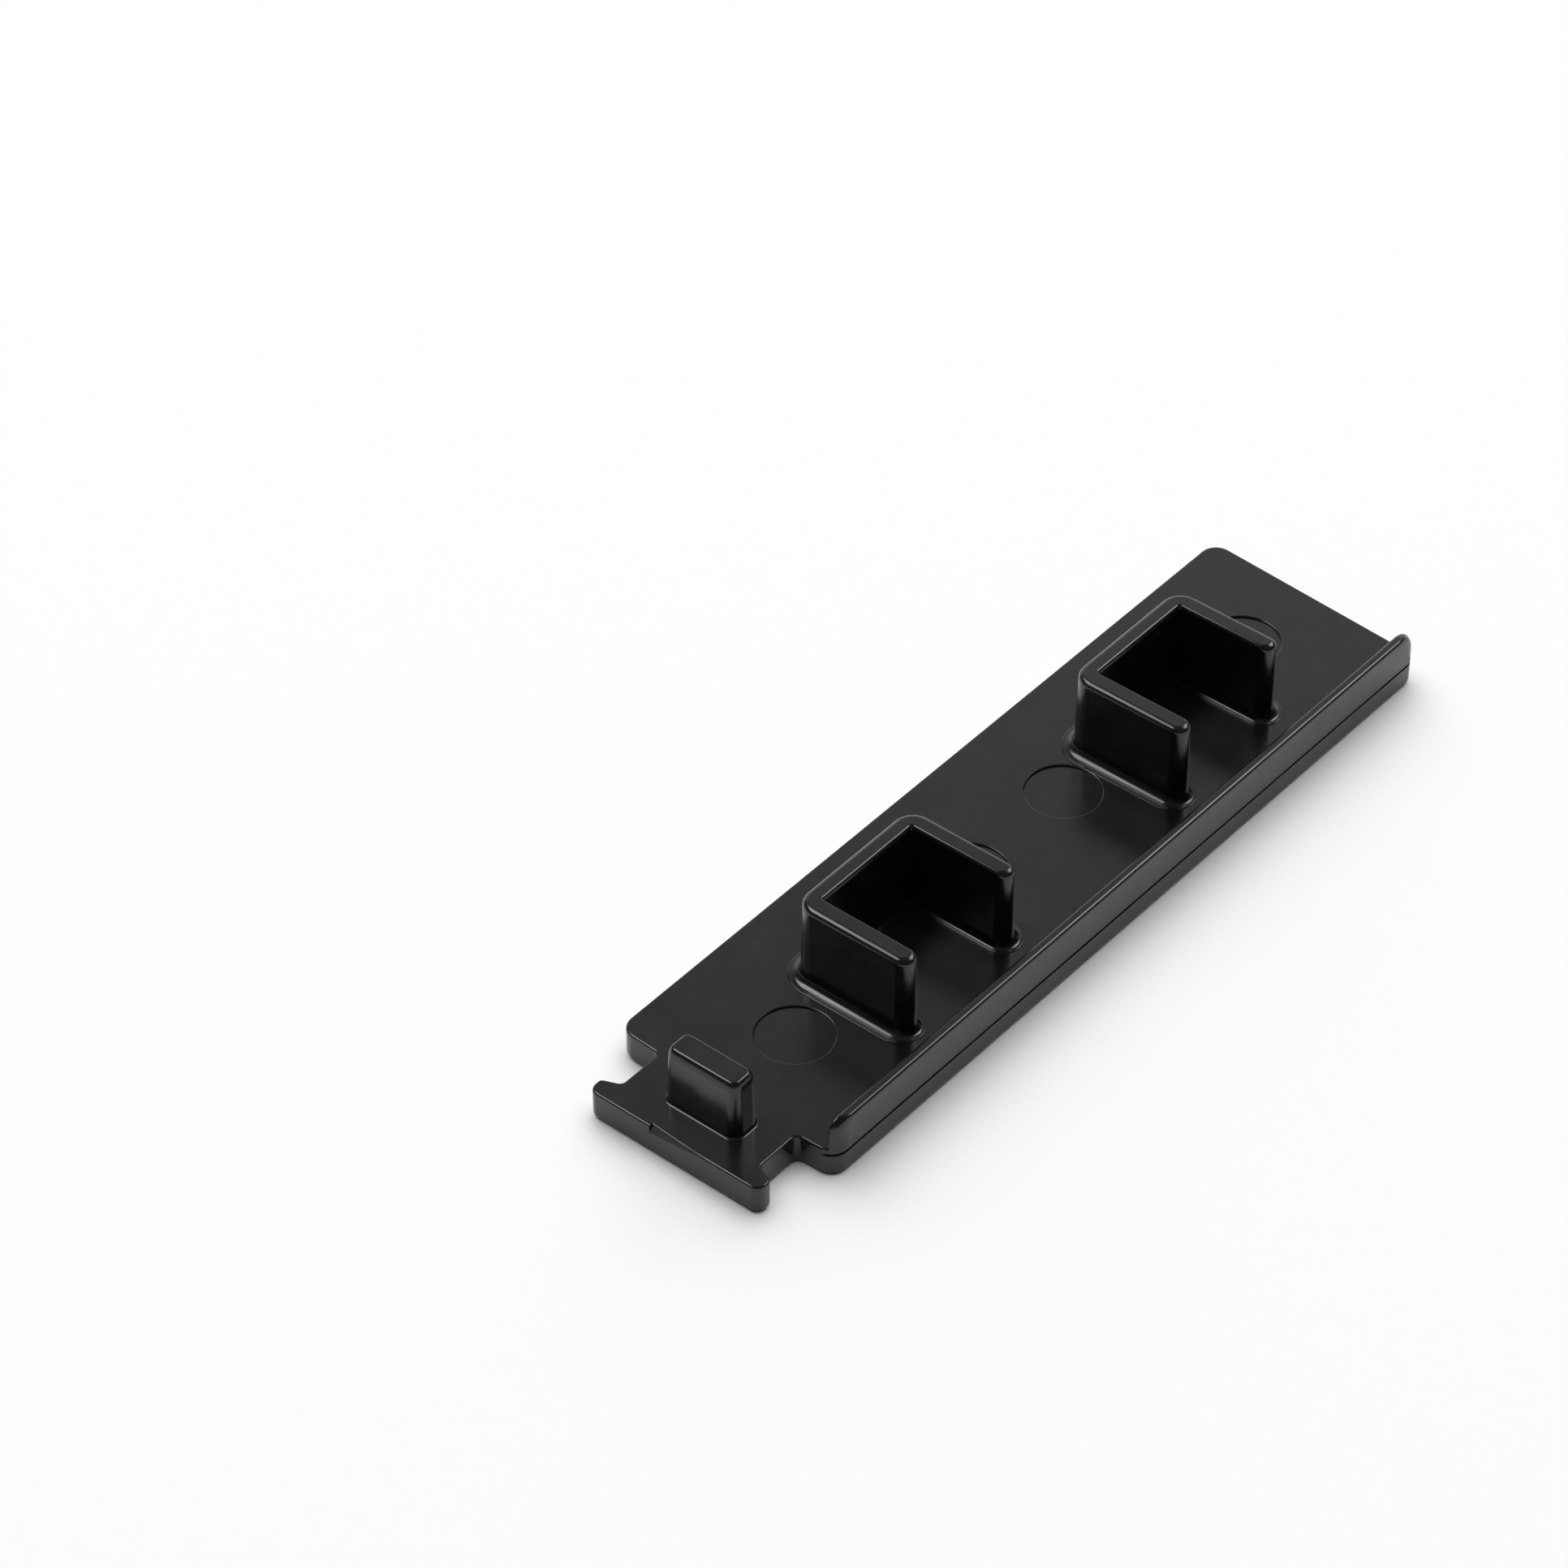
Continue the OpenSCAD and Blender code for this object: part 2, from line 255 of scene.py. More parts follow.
class PlasticFinish(bpy.types.PropertyGroup):
    """Finish of the black ABS"""

    dark: colour("Dark tone", "Deepest tone of the black", "#0a0a0b")
    light: colour("Light tone", "Greyest tone of the black", "#111213")
    ior: number("IOR", "Refractive index of ABS", 1.53)
    gloss_low: number("Lowest roughness", "Roughness of the smoothest patches", 0.16)
    gloss_high: number("Highest roughness", "Roughness of the dullest patches", 0.28)
    smooth_below: number("Smooth below", "Noise below which a patch is smoothest", 0.3)
    dull_above: number("Dull above", "Noise above which a patch is dullest", 0.7)
    mottle: size("Mottle", "Size of the patches of dull and smooth surface", 2.2 * MM)
    mottle_layers: number("Mottle layers", "Layers of finer patches in them", 5.0)
    grain: size("Grain", "Size of the spark-eroded grain of the mould", 0.11 * MM)
    grain_layers: number("Grain layers", "Layers of finer grain in it", 2.0)
    grain_height: size("Grain height", "Height of the grain", 0.0006 * MM)
    layer_share: number("Layer share", "Strength of a layer against the one before it", 0.6)
    sink: size("Sink", "Size of the slow waves that shrinkage leaves", 5.0 * MM)
    sink_layers: number("Sink layers", "Layers of finer waves in them", 1.0)
    sink_height: size("Sink height", "Height of those waves", 0.012 * MM)


class StudioSettings(bpy.types.PropertyGroup):
    """Camera, floor and lamps"""

    floor: colour("Floor", "Colour of the pale floor", "#fafafa")
    floor_roughness: number("Floor roughness", "Roughness of its paint", 0.9)
    floor_specular: number("Floor specular", "Strength of the reflections of its paint", 0.2)
    floor_reach: size("Floor reach", "From the cap to the edges of the floor", 1.5)
    floor_gap: size("Floor gap", "Air that keeps the floor and the cap apart", 0.02 * MM)
    aim: position(
        "Camera aim", "Point that the camera looks at", (-5.34 * MM, 10.73 * MM, 4.0 * MM),
    )
    azimuth: angle("Camera azimuth", "Direction of the camera round the cap", -140.21)
    elevation: angle("Camera elevation", "Height of the camera above the horizon", 41.773)
    distance: size("Camera distance", "From the camera to the point it looks at", 297.95 * MM)
    lens: number("Focal length", "Focal length in millimetres on a 36 mm sensor", 132.36)
    lamp_distance: size("Lamp distance", "From the cap to the softboxes and the screen", 2.0)
    left_azimuth: angle("Left azimuth", "Direction of the softbox on the plain side", 112)
    left_elevation: angle("Left elevation", "Height of that softbox above the horizon", 54)
    left_width: size("Left width", "Width of that softbox", 1.3)
    left_height: size("Left height", "Height of that softbox", 0.8)
    left_glow: number("Left glow", "Brightness of that softbox", 6.6)
    right_azimuth: angle("Right azimuth", "Direction of the softbox on the lip side", -20)
    right_elevation: angle("Right elevation", "Height of that softbox above the horizon", 47)
    right_width: size("Right width", "Width of that softbox", 1.3)
    right_height: size("Right height", "Height of that softbox", 0.8)
    right_glow: number("Right glow", "Brightness of that softbox", 5.4)
    top_azimuth: angle("Top azimuth", "Direction towards which the overhead screen is moved", 45)
    top_elevation: angle("Top elevation", "Height of the overhead screen above the horizon", 69)
    top_width: size("Top width", "Width of the overhead screen", 3.4)
    top_height: size("Top height", "Height of the overhead screen", 3.4)
    top_glow: number("Top glow", "Brightness of the overhead screen", 2.1)
    wall_azimuth: angle("Wall azimuth", "Direction of the pale wall behind the cap", 40)
    wall_glow: number("Wall glow", "Brightness of that wall where it meets the floor", 1.3)
    wall_full: angle("Wall full angle", "From its middle to where it begins to darken", 33)
    wall_end: angle("Wall end angle", "From its middle to where it is as dark as the room", 50)
    room_glow: number("Room glow", "Brightness of the dim room elsewhere", 0.12)
    matt_share: number("Matt share", "Share of wall and room that lights matt surfaces", 0.5)


class EndCapSettings(bpy.types.PropertyGroup):
    """Everything that a user of the end cap can change"""

    plate: PointerProperty(type=PlateSizes)
    head: PointerProperty(type=HeadSizes)
    lip: PointerProperty(type=LipSizes)
    boss: PointerProperty(type=BossSizes)
    tab: PointerProperty(type=TabSizes)
    marks: PointerProperty(type=MouldMarks)
    plastic: PointerProperty(type=PlasticFinish)
    studio: PointerProperty(type=StudioSettings)


class Station(NamedTuple):
    """A point of an outline, and what it takes to move it in or out of the solid.

    The reach of a rounded corner is its radius, counted as negative where the corner is concave.
    """

    point: Vector
    inward: Vector
    miter: Vector
    reach: float

    def moved(self, inset):
        """Where the point goes when the outline is drawn in by inset.

        A corner that is drawn past its radius keeps a tiny one, and slides along its miter.
        """
        turned = inset
        if self.reach > 0:
            turned = min(inset, max(0, self.reach - SPARE_R))
        elif self.reach < 0:
            turned = max(inset, min(0, self.reach + SPARE_R))
        return self.point + turned * self.inward + (inset - turned) * self.miter


def rounded(corners):
    """Closed outline of stations through counter-clockwise (x, y, radius) corners."""
    outline = []
    for i, (x, y, radius) in enumerate(corners):
        corner = Vector((x, y))
        arriving = (corner - Vector(corners[i - 1][:2])).normalized().orthogonal()
        leaving = (Vector(corners[(i + 1) % len(corners)][:2]) - corner).normalized().orthogonal()
        miter = (arriving + leaving) / (1 + arriving.dot(leaving))
        sweep = math.atan2(arriving.cross(leaving), arriving.dot(leaving))
        reach = math.copysign(radius, sweep)
        middle = corner + reach * miter
        steps = max(LEAST_STEPS, math.ceil(abs(sweep) / (math.pi / 2) * CORNER_STEPS))
        start = math.atan2(arriving.y, arriving.x)
        for k in range(steps + 1):
            heading = start + sweep * k / steps
            inward = Vector((math.cos(heading), math.sin(heading)))
            outline.append(Station(middle - reach * inward, inward, miter, reach))
    return outline


def spaced(outline, gap):
    """The same outline with stations no further apart than gap."""
    stations = []
    for here, after in zip(outline, outline[1:] + outline[:1]):
        stations.append(here)
        count = math.ceil((after.point - here.point).length / gap)
        for k in range(1, count):
            point = here.point.lerp(after.point, k / count)
            stations.append(Station(point, here.inward, here.inward, 0))
    return stations


def ring(outline, inset, z):
    """The outline drawn in by inset at height z."""
    return [(*station.moved(inset), z) for station in outline]


def quarter(radius, steps=EDGE_STEPS):
    """(inset, rise) along a rounding of that radius, from the side to the top."""
    turns = [math.pi / 2 * k / steps for k in range(steps + 1)]
    return [(radius * (1 - math.cos(a)), radius * math.sin(a)) for a in turns]


def loft(shape, rings):
    """Adds to a bmesh the closed skin through rings of equally many points."""
    rows = [
        [shape.verts.new([round(c, DECIMALS) for c in point]) for point in points]
        for points in rings
    ]
    faces = [shape.faces.new(rows[0]), shape.faces.new(rows[-1])]
    count = len(rows[0])
    for lower, upper in zip(rows, rows[1:]):
        for i in range(count):
            j = (i + 1) % count
            faces.append(shape.faces.new((lower[i], lower[j], upper[j], upper[i])))
    bmesh.ops.recalc_face_normals(shape, faces=faces)


def plate_outline(sizes):
    """Plan of the plate, its neck and its hook head, from the lip edge round to the plain edge."""
    plate, head = sizes.plate, sizes.head
    shoulder = head.root + head.neck_length
    neck_low = head.middle - head.neck_width / 2
    neck_high = head.middle + head.neck_width / 2
    head_low = head.middle - head.width / 2
    head_high = head.middle + head.width / 2
    return rounded([
        (0, head_low, head.tip_r),
        (head.tip, head_low, head.tip_back_r),
        (head.root, neck_low, head.fillet_r),
        (shoulder - head.shoulder_slant, neck_low, head.fillet_r),
        (shoulder, 0, plate.corner_r),
        (plate.length - plate.end_slant, 0, plate.lip_corner_r),
        (plate.length, plate.width, plate.corner_r),
        (shoulder, plate.width, plate.corner_r),
        (shoulder - head.shoulder_slant, neck_high, head.fillet_r),
        (head.root, neck_high, head.fillet_r),
        (head.tip, head_high, head.tip_back_r),
        (0, head_high, head.tip_r),
    ])


def add_plate(shape, sizes):
    """The plate, rounded round both faces, with the parting line along its lip side."""
    plate, marks = sizes.plate, sizes.marks
    outline = spaced(plate_outline(sizes), OUTLINE_GAP)
    rings = [ring(outline, inset, plate.outer_edge_r - rise)
             for inset, rise in reversed(quarter(plate.outer_edge_r))]
    half = marks.seam_width / 2
    for rise, share in SEAM_PROFILE:
        z = marks.seam_height + rise * half
        depth = marks.seam_depth * share
        rings.append([
            (*station.moved(depth * seam_share(station, sizes)), z) for station in outline
        ])
    rings += [ring(outline, inset, plate.thick - plate.inner_edge_r + rise)
              for inset, rise in quarter(plate.inner_edge_r, TINY_STEPS)]
    loft(shape, rings)


def seam_share(station, sizes):
    """Depth of the parting line at a station, as a share of its greatest depth.

    It is deepest along the middle of the lip side, where the mould halves met worst. It falls to
    nothing where the corners of that side have turned away, and there is none elsewhere.
    """
    plate, marks = sizes.plate, sizes.marks
    if station.point.y > plate.corner_r:
        return 0
    along = (station.point.x - marks.seam_middle) / marks.seam_reach
    worst = math.exp(-along * along)
    facing = min(1, max(0, station.inward.y) / SEAM_FACING)
    return facing * (marks.seam_least + (1 - marks.seam_least) * worst)


def span(outline, y):
    """Lowest and highest x of an outline at that y."""
    crossings = []
    points = [station.point for station in outline]
    for a, b in zip(points, points[1:] + points[:1]):
        if min(a.y, b.y) <= y <= max(a.y, b.y) and a.y != b.y:
            crossings.append(a.lerp(b, (y - a.y) / (b.y - a.y)).x)
    return min(crossings), max(crossings)


def lip_ring(sizes, outline, y, inset, height):
    """Elevation of the lip at y, drawn in by inset, with both ends rounded down to the plate."""
    lip, plate = sizes.lip, sizes.plate
    low, high = span(outline, y)
    low += lip.set_in + inset
    high -= lip.set_in + inset
    base = plate.thick - OVERLAP
    top = plate.thick + height - inset
    points = [(low, y, base), (high, y, base)]
    arc = [math.pi / 2 * k / CORNER_STEPS for k in range(CORNER_STEPS + 1)]
    for end, side, end_r, turn in (
        (high, -1, lip.plain_end_r, arc), (low, 1, lip.hook_end_r, reversed(arc)),
    ):
        radius_x = end_r - inset
        radius_z = max(0, min(radius_x, height - inset))
        points += [
            (end + side * radius_x * (1 - math.cos(a)), y, top - radius_z * (1 - math.sin(a)))
            for a in turn
        ]
    return points


def add_lip(shape, sizes):
    """The lip, built up through its thickness from the lip side inwards."""
    lip = sizes.lip
    outline = plate_outline(sizes)
    edge = quarter(lip.edge_r)
    rings = [lip_ring(sizes, outline, DIP + inset, lip.edge_r - rise, lip.height)
             for inset, rise in edge]
    rings += [lip_ring(sizes, outline, lip.thick - inset, lip.edge_r - rise, lip.height)
              for inset, rise in reversed(edge)]
    foot_top = lip.edge_r + lip.foot_r - DIP
    rings += [lip_ring(sizes, outline, lip.thick + inset, lip.edge_r, foot_top - rise)
              for inset, rise in quarter(lip.foot_r)]
    loft(shape, rings)


def full(station):
    """The share of a rounding that reaches as far at every station."""
    return 1


def wall_rings(outline, base, height, draft, foot, rim, foot_share=full, rim_share=full):
    """Rings of a wall that stands at height base: filleted foot, draft and rounded rim.

    The foot is the radius of its fillet and the height and ledge of the step under it. The rim
    is how far its rounding comes in and how far it goes down. At each station the foot reaches
    foot_share times as far, and the rim rim_share times.
    """
    foot_r, step, ledge = foot
    slope = math.tan(draft)
    depth = height * slope

    def rounding(z, inset, share, drop=0):
        """Ring at height z, lowered by drop, where a rounding has come in by inset."""
        lean = slope * z - depth
        return [(*at.moved(lean + inset * share(at)), base + z - drop) for at in outline]

    def skirt(inset, rise):
        """Ring of the step, which goes round the foot at an even distance."""
        toe = ledge + step + depth - inset
        return [(*at.moved(-toe - foot_r * foot_share(at)), base + rise) for at in outline]

    rings = [skirt(0, -OVERLAP)]
    if step:
        rings += [skirt(inset, rise - DIP) for inset, rise in quarter(step, TINY_STEPS)]
    for inset, rise in reversed(quarter(foot_r)):
        rings.append(rounding(step + foot_r - rise, -inset, foot_share, DIP))
    rim_inset, rim_drop = rim
    for inset, rise in quarter(rim_drop):
        rings.append(rounding(height - rim_drop + rise, inset * rim_inset / rim_drop, rim_share))
    return rings


def add_boss(shape, sizes, start, leg_step):
    """A boss of three drafted walls, open towards the lip."""
    boss, base = sizes.boss, sizes.plate.thick
    height = HIGH.z - base
    end = start + boss.length
    back = MOUNTS["first_boss"].y - LOW.y + boss.width / 2
    leg_y = back - boss.width
    far_y = leg_y + leg_step
    near, far = start + boss.wall, end - boss.far_wall
    inner_back = back - boss.back_wall
    hook_r = boss.leg_round * boss.wall
    far_hook_r = boss.leg_round * boss.far_wall
    # Between the two corners of a leg end stays a sliver that is straight
    outline = rounded([
        (near, leg_y, boss.wall - hook_r - DIP),
        (near, inner_back, boss.inner_r),
        (far, inner_back, boss.inner_r),
        (far, far_y, far_hook_r),
        (end, far_y, boss.far_wall - far_hook_r - DIP),
        (end, back, boss.corner_r),
        (start, back, boss.corner_r),
        (start, leg_y, hook_r),
    ])

    def share(station, inside, at_end):
        """How far a rounding reaches: inside the boss, at the ends of the legs, or 1 elsewhere."""
        x, y = station.point
        inner = (start + near) / 2 < x < (far + end) / 2 and y < (inner_back + back) / 2
        side = inside if inner else 1
        if y > far_y + hook_r:
            return side
        return side + (at_end - side) * max(0, station.inward.y)

    foot = (boss.foot_r, boss.foot_step, boss.foot_ledge)
    loft(shape, wall_rings(
        outline, base, height, boss.draft, foot, (boss.rim_r, boss.rim_r),
        lambda station: share(station, boss.inner_foot_share, boss.end_foot_share),
        lambda station: share(station, boss.inner_rim_share, boss.end_rim_share),
    ))


def boss_starts(sizes):
    """Where the two bosses begin, from the hook head."""
    half = sizes.boss.length / 2
    return [MOUNTS[name].x - LOW.x - half for name in ("first_boss", "second_boss")]


def add_bosses(shape, sizes):
    """Both bosses, which differ in how much shorter their far legs are."""
    steps = (sizes.boss.first_step, sizes.boss.second_step)
    for start, leg_step in zip(boss_starts(sizes), steps):
        add_boss(shape, sizes, start, leg_step)


def add_tab(shape, sizes):
    """The locating tab, a solid block on the neck."""
    tab, base = sizes.tab, sizes.plate.thick
    middle = MOUNTS["locating_tab"] - Vector((LOW.x, LOW.y, base))
    outline = rounded([
        (middle.x + side_x * tab.thick / 2, middle.y + side_y * tab.width / 2, tab.corner_r)
        for side_x, side_y in ((-1, -1), (1, -1), (1, 1), (-1, 1))
    ])
    loft(shape, wall_rings(
        outline, base, middle.z, tab.draft, (tab.foot_r, 0, 0), (tab.rim_inset, tab.rim_drop),
    ))


def add_pin_marks(shape, sizes):
    """Cutters of the four ejector marks, flared so that their rims are softly rounded."""
    marks, plate = sizes.marks, sizes.plate
    first, second = boss_starts(sizes)
    boss_length = sizes.boss.length
    middles = [
        (marks.first_x, plate.width - marks.first_setback),
        (first + boss_length + marks.second_gap, plate.width - marks.setback),
        (second - marks.third_gap, plate.width - marks.setback),
        (second + boss_length + marks.fourth_gap, plate.width - marks.setback),
    ]
    turns = [2 * math.pi * k / MARK_SIDES for k in range(MARK_SIDES)]
    outward = [Vector((math.cos(a), math.sin(a))) for a in turns]
    for middle in middles:
        circle = [Station(Vector(middle) + marks.pin_d / 2 * d, -d, -d, 0) for d in outward]
        rings = [ring(circle, 0, plate.thick - marks.pin_depth)]
        rings += [ring(circle, -inset, plate.thick - marks.pin_edge_r + rise)
                  for inset, rise in quarter(marks.pin_edge_r, TINY_STEPS)]
        rings.append(ring(circle, -marks.pin_edge_r, plate.thick + OVERLAP))
        loft(shape, rings)


def add_trim_wedge(shape, sizes):
    """Cutter of the wedge in the face of the head, where the sprue was trimmed off.

    It leans in towards the inner face, where its edge is broken, and thins out along the head.
    """
    head = sizes.head
    start = head.middle + head.trim_start
    top = sizes.plate.thick
    lean = head.trim_depth / head.trim_height
    fall = math.tan(head.trim_fall)
    rings = []
    for y, share in ((start, 1.0), (start - head.trim_length, SPARE_SHARE)):
        foot = top - head.trim_height * share - OVERLAP / lean
        rim, edge = head.trim_depth * share, head.trim_edge * share
        rings.append([
            (-OVERLAP, y, foot),
            (rim, y, top - edge * fall),
            (rim + edge + OVERLAP, y, top + OVERLAP * fall),
            (-OVERLAP, y, top + OVERLAP * fall),
        ])
    loft(shape, rings)


def new_piece(name, settings, *builders):
    """An object in the scene, whose mesh is what the builders add to one bmesh."""
    shape = bmesh.new()
    for build in builders:
        build(shape, settings)
    mesh = bpy.data.meshes.new(name)
    shape.to_mesh(mesh)
    shape.free()
    piece = bpy.data.objects.new(name, mesh)
    bpy.context.scene.collection.objects.link(piece)
    return piece


def combine(piece, tool, operation):
    """Joins the tool's solids to the piece, or cuts them out of it, and removes the tool."""
    change = piece.modifiers.new(operation.title(), "BOOLEAN")
    change.operation = operation
    change.solver = "EXACT"
    change.object = tool
    graph = bpy.context.evaluated_depsgraph_get()
    mesh = bpy.data.meshes.new_from_object(piece.evaluated_get(graph))
    piece.modifiers.clear()
    piece.data = mesh
    bpy.data.objects.remove(tool)


def bend(a, b):
    """Angle between two normals, and half a turn where a face is too small to have one."""
    return a.angle(b, math.pi)


def level_runs(shape):
    """For each face, the normal of the wide flat that it lies in, or None on a rounding."""
    run_of = {}
    for seed in shape.faces:
        if seed in run_of:
            continue
        run = [seed]
        run_of[seed] = None
        for face in run:
            for edge in face.edges:
                for other in edge.link_faces:
                    if other not in run_of and bend(other.normal, seed.normal) < LEVEL_ANGLE:
                        run_of[other] = None
                        run.append(other)
        members = set(run)
        border = sum(edge.calc_length() for face in run for edge in face.edges
                     if not all(other in members for other in edge.link_faces))
        area = sum(face.calc_area() for face in run)
        # A long strip is as wide as twice its area over its border
        if 2 * area > FLAT_WIDTH * border:
            for face in run:
                run_of[face] = seed.normal.copy()
    return run_of


def shade(mesh):
    """Shades wide flats dead flat and roundings smooth, and keeps creases sharp."""
    mesh.shade_smooth()
    shape = bmesh.new()
    shape.from_mesh(mesh)
    flats = level_runs(shape)
    normals = []
    for face in shape.faces:
        for corner in face.loops:
            if flats[face]:
                normals.append(flats[face])
                continue
            near = [other for other in corner.vert.link_loops
                    if bend(other.face.normal, face.normal) < CREASE]
            level = [flats[other.face] for other in near if flats[other.face]]
            if level:
                normals.append(min(level, key=lambda normal: bend(normal, face.normal)))
            else:
                total = sum((other.calc_angle() * other.face.normal for other in near), Vector())
                normals.append(total.normalized())
    shape.free()
    mesh.normals_split_custom_set(normals)


def add_node(tree, kind, inputs, **settings):
    """A node with its settings, and each input set to a value or linked from a socket."""
    node = tree.nodes.new(kind)
    for name, value in settings.items():
        setattr(node, name, value)
    for name, value in inputs.items():
        if isinstance(value, bpy.types.NodeSocket):
            tree.links.new(value, node.inputs[name])
        else:
            node.inputs[name].default_value = value
    return node


def moulded_abs(finish):
    """Black ABS, moulded in a finely spark-eroded tool: a deep black with a satin bloom.

    Patches of duller and smoother skin break up its reflections, and shrinkage bends them.
    """
    material = bpy.data.materials.new("black_abs_moulded_satin")
    material.use_nodes = True
    tree = material.node_tree
    tree.nodes.clear()
    place = add_node(tree, "ShaderNodeTexCoord", {}).outputs["Object"]
    patches = add_node(tree, "ShaderNodeTexNoise", {
        "Vector": place, "Scale": 1 / finish.mottle, "Detail": finish.mottle_layers,
        "Roughness": finish.layer_share,
    }).outputs["Fac"]
    # The colours of the mix go into sockets 6 and 7 and come out of socket 2
    tone = add_node(tree, "ShaderNodeMix", {
        "Factor": patches, 6: finish.dark, 7: finish.light,
    }, data_type="RGBA").outputs[2]
    gloss = add_node(tree, "ShaderNodeMapRange", {
        "Value": patches, "From Min": finish.smooth_below, "From Max": finish.dull_above,
        "To Min": finish.gloss_low, "To Max": finish.gloss_high,
    }).outputs["Result"]
    waves = add_node(tree, "ShaderNodeTexNoise", {
        "Vector": place, "Scale": 1 / finish.sink, "Detail": finish.sink_layers,
    }).outputs["Fac"]
    # The true grain is about half this size, and is drawn coarser so that it shows
    grain = add_node(tree, "ShaderNodeTexNoise", {
        "Vector": place, "Scale": 1 / finish.grain, "Detail": finish.grain_layers,
        "Roughness": finish.layer_share,
    }).outputs["Fac"]
    bent = add_node(tree, "ShaderNodeBump", {
        "Height": waves, "Distance": finish.sink_height,
    }).outputs["Normal"]
    rough = add_node(tree, "ShaderNodeBump", {
        "Height": grain, "Distance": finish.grain_height, "Normal": bent,
    }).outputs["Normal"]
    skin = add_node(tree, "ShaderNodeBsdfPrincipled", {
        "Base Color": tone, "Roughness": gloss, "IOR": finish.ior, "Normal": rough,
    }).outputs["BSDF"]
    add_node(tree, "ShaderNodeOutputMaterial", {"Surface": skin})
    return material


def painted_floor(studio):
    """Matt white painted board, which takes the soft shadow of the cap."""
    material = bpy.data.materials.new("white_painted_board_matt")
    material.use_nodes = True
    tree = material.node_tree
    tree.nodes.clear()
    paint = add_node(tree, "ShaderNodeBsdfPrincipled", {
        "Base Color": studio.floor, "Roughness": studio.floor_roughness,
        "Specular IOR Level": studio.floor_specular,
    }).outputs["BSDF"]
    add_node(tree, "ShaderNodeOutputMaterial", {"Surface": paint})
    return material


def direction(azimuth, elevation):
    """Unit vector towards a direction round the cap, azimuth 0 being +X."""
    level = math.cos(elevation)
    return Vector((level * math.cos(azimuth), level * math.sin(azimuth), math.sin(elevation)))


def add_softbox(studio, side):
    """The softbox on that side, a square-edged lamp that faces the cap."""
    azimuth, elevation, width, height, glow = (
        getattr(studio, f"{side}_{value}")
        for value in ("azimuth", "elevation", "width", "height", "glow")
    )
    lamp = bpy.data.lights.new(f"{side}_softbox", "AREA")
    lamp.shape = "RECTANGLE"
    lamp.size = width
    lamp.size_y = height
    # The power goes with the area, so that a wider softbox is no dimmer
    lamp.energy = glow * math.pi * width * height
    box = bpy.data.objects.new(f"{side}_softbox", lamp)
    towards = direction(azimuth, elevation)
    box.location = towards * studio.lamp_distance
    box.rotation_euler = towards.to_track_quat("Z", "Y").to_euler()
    bpy.context.scene.collection.objects.link(box)
    return box


def add_floor(shape, studio):
    """The floor, just under the cap."""
    half = studio.floor_reach
    corners = [(-half, -half), (half, -half), (half, half), (-half, half)]
    shape.faces.new([shape.verts.new((x, y, -studio.floor_gap)) for x, y in corners])


def dim_room(studio):
    """World of a dim room with one pale wall, which glows most where it meets the floor."""
    world = bpy.data.worlds.new("dim_room_with_pale_wall")
    world.use_nodes = True
    tree = world.node_tree
    tree.nodes.clear()
    place = add_node(tree, "ShaderNodeTexCoord", {}).outputs["Generated"]
    facing = add_node(tree, "ShaderNodeVectorMath", {
        0: place, 1: direction(studio.wall_azimuth, 0),
    }, operation="DOT_PRODUCT").outputs["Value"]
    glow = add_node(tree, "ShaderNodeMapRange", {
        "Value": facing,
        "From Min": math.cos(studio.wall_end), "From Max": math.cos(studio.wall_full),
        "To Min": studio.room_glow, "To Max": studio.wall_glow,
    }).outputs["Result"]
    # Matt surfaces get less of it, which keeps the shadow of the cap short
    matt = add_node(tree, "ShaderNodeLightPath", {}).outputs["Is Diffuse Ray"]
    share = add_node(tree, "ShaderNodeMapRange", {
        "Value": matt, "To Min": 1.0, "To Max": studio.matt_share,
    }).outputs["Result"]
    strength = add_node(tree, "ShaderNodeMath", {
        0: glow, 1: share,
    }, operation="MULTIPLY").outputs["Value"]
    walls = add_node(tree, "ShaderNodeBackground", {"Strength": strength}).outputs["Background"]
    add_node(tree, "ShaderNodeOutputWorld", {"Surface": walls})
    return world


class END_CAP_OT_build_cap(bpy.types.Operator):
    """Build the moulded end cap in place of the packed solid"""

    bl_idname = "end_cap.build_cap"
    bl_label = "End cap"

    def execute(self, context):
        sizes = context.scene.end_cap
        cap = new_piece("end_cap_moulding", sizes, add_plate)
        raised = new_piece("raised", sizes, add_lip, add_bosses, add_tab)
        sunk = new_piece("sunk", sizes, add_pin_marks, add_trim_wedge)
        combine(cap, raised, "UNION")
        combine(cap, sunk, "DIFFERENCE")
        cap.data.transform(Matrix.Translation((LOW.x, LOW.y, 0)))
        shade(cap.data)
        cap.data.materials.clear()
        cap.data.materials.append(moulded_abs(sizes.plastic))
        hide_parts(CAP)
        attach(cap, BODY)
        return {"FINISHED"}


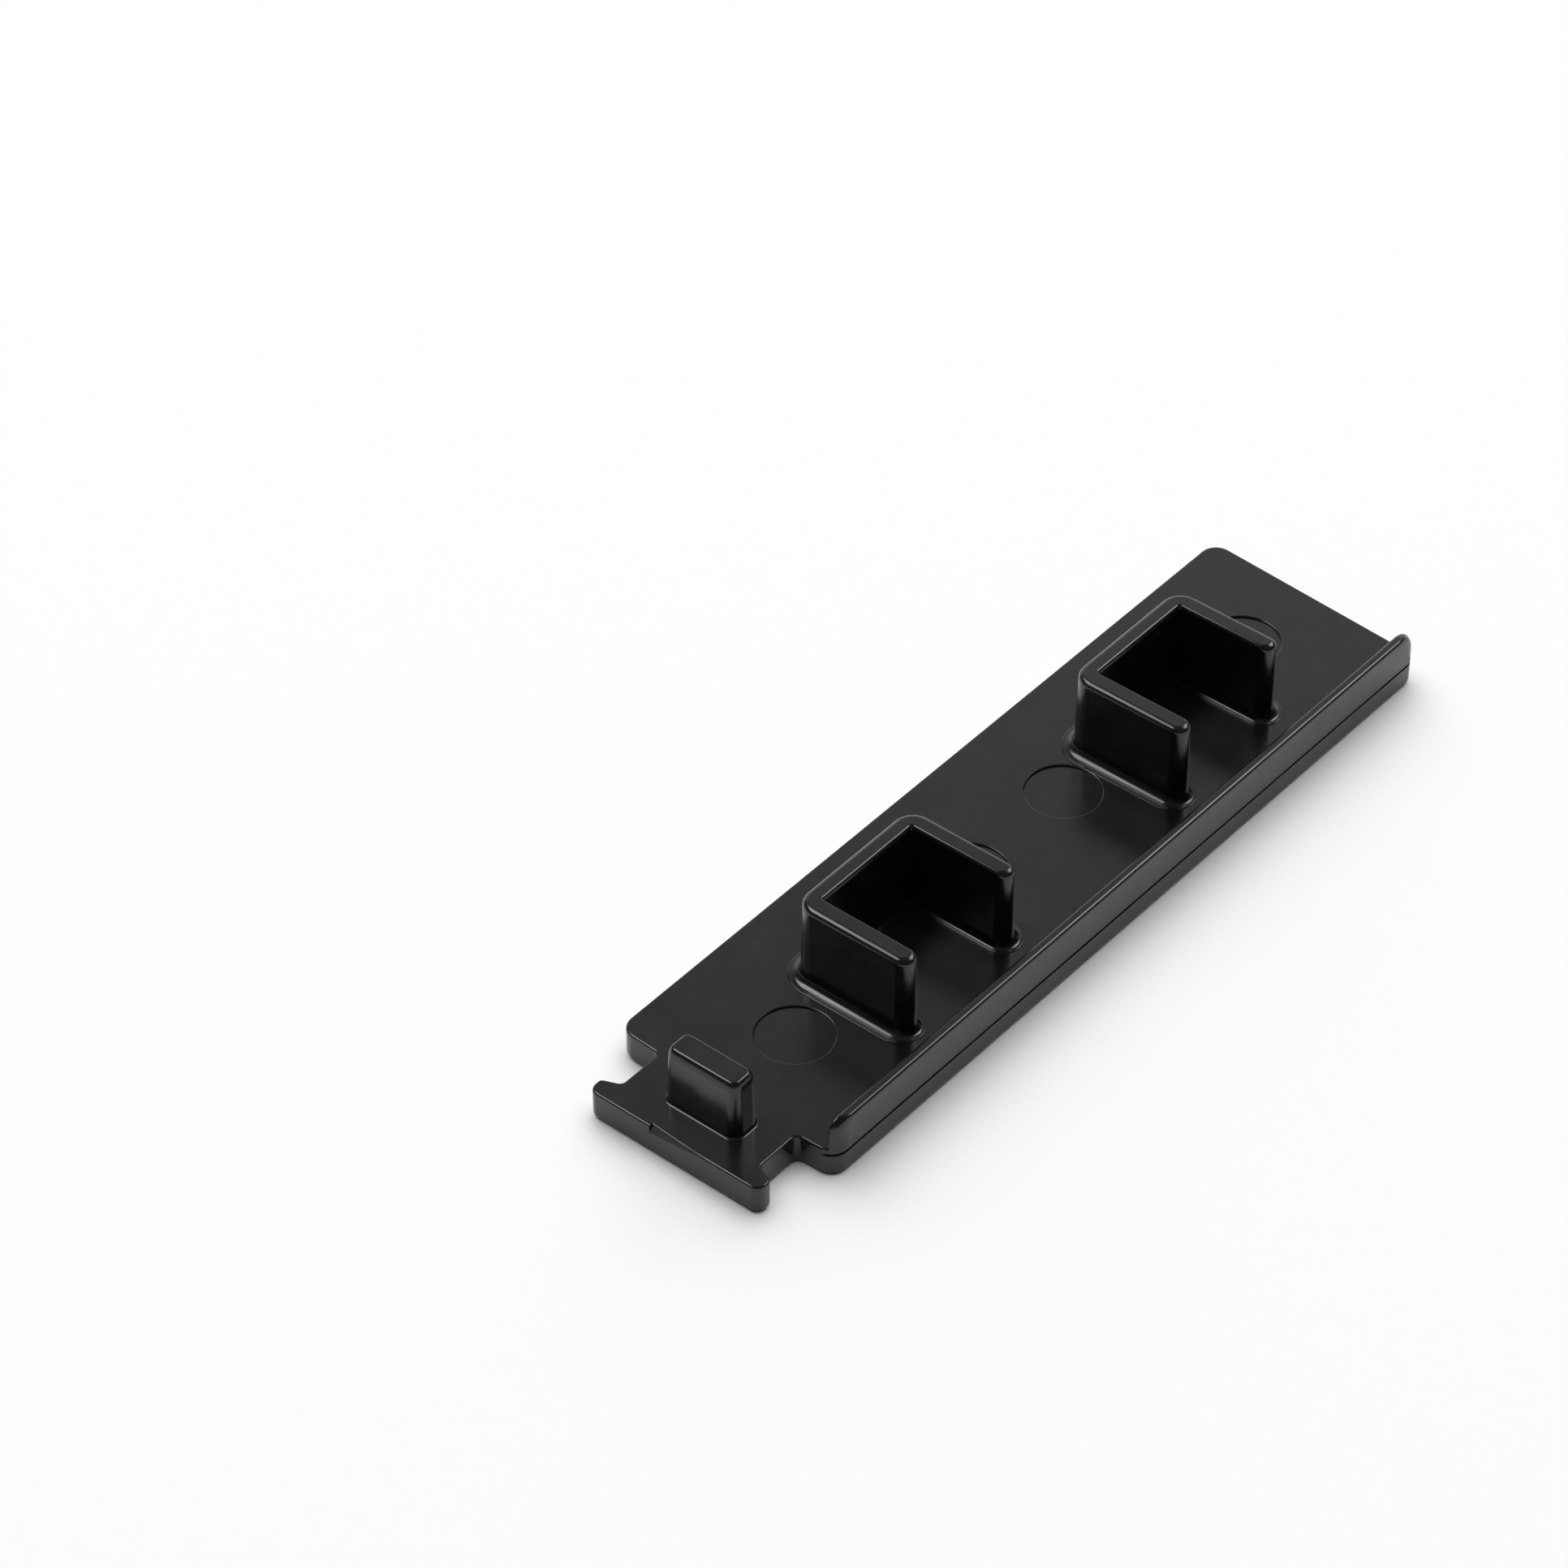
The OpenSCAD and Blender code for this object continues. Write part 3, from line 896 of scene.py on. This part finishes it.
class END_CAP_OT_build_stage(bpy.types.Operator):
    """Set the pale floor, the soft lamps and the camera"""

    bl_idname = "end_cap.build_stage"
    bl_label = "Stage"

    def execute(self, context):
        scene = context.scene
        studio = scene.end_cap.studio
        scene.view_settings.view_transform = "Standard"
        floor = new_piece("floor", studio, add_floor)
        floor.data.materials.append(painted_floor(studio))
        # The screen overhead lights only what is matt, and the two softboxes only make reflections
        add_softbox(studio, "top").visible_glossy = False
        for side in ("left", "right"):
            add_softbox(studio, side).visible_diffuse = False
        scene.world = dim_room(studio)
        camera = bpy.data.objects.new("camera", bpy.data.cameras.new("camera"))
        towards = direction(studio.azimuth, studio.elevation)
        camera.location = studio.aim + studio.distance * towards
        camera.rotation_euler = towards.to_track_quat("Z", "Y").to_euler()
        camera.data.lens = studio.lens
        camera.data.clip_start = CLIP_START
        scene.collection.objects.link(camera)
        scene.camera = camera
        return {"FINISHED"}


class END_CAP_PT_sidebar(bpy.types.Panel):
    """Panel that lists the settings and what is built from them"""

    bl_label = "Curtain rail end cap"
    bl_idname = "END_CAP_PT_sidebar"
    bl_space_type = "VIEW_3D"
    bl_region_type = "UI"
    bl_category = "End cap"

    def draw(self, context):
        settings = context.scene.end_cap
        for name in EndCapSettings.__annotations__:
            group = getattr(settings, name)
            box = self.layout.box()
            box.label(text=group.__doc__)
            for value in group.__annotations__:
                box.prop(group, value)
        for operator in OPERATORS:
            self.layout.operator(operator.bl_idname)


GROUPS = (PlateSizes, HeadSizes, LipSizes, BossSizes, TabSizes, MouldMarks, PlasticFinish,
          StudioSettings, EndCapSettings)
OPERATORS = (END_CAP_OT_build_cap, END_CAP_OT_build_stage)
CLASSES = (*GROUPS, *OPERATORS, END_CAP_PT_sidebar)


def register():
    """Makes the settings, the operators and the panel known."""
    for cls in CLASSES:
        bpy.utils.register_class(cls)
    bpy.types.Scene.end_cap = PointerProperty(type=EndCapSettings)


def unregister():
    """Takes them out again."""
    del bpy.types.Scene.end_cap
    for cls in reversed(CLASSES):
        bpy.utils.unregister_class(cls)


def main():
    """Builds the cap and its stage."""
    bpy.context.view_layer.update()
    register()
    bpy.ops.end_cap.build_cap()
    bpy.ops.end_cap.build_stage()


if __name__ == "__main__":
    main()
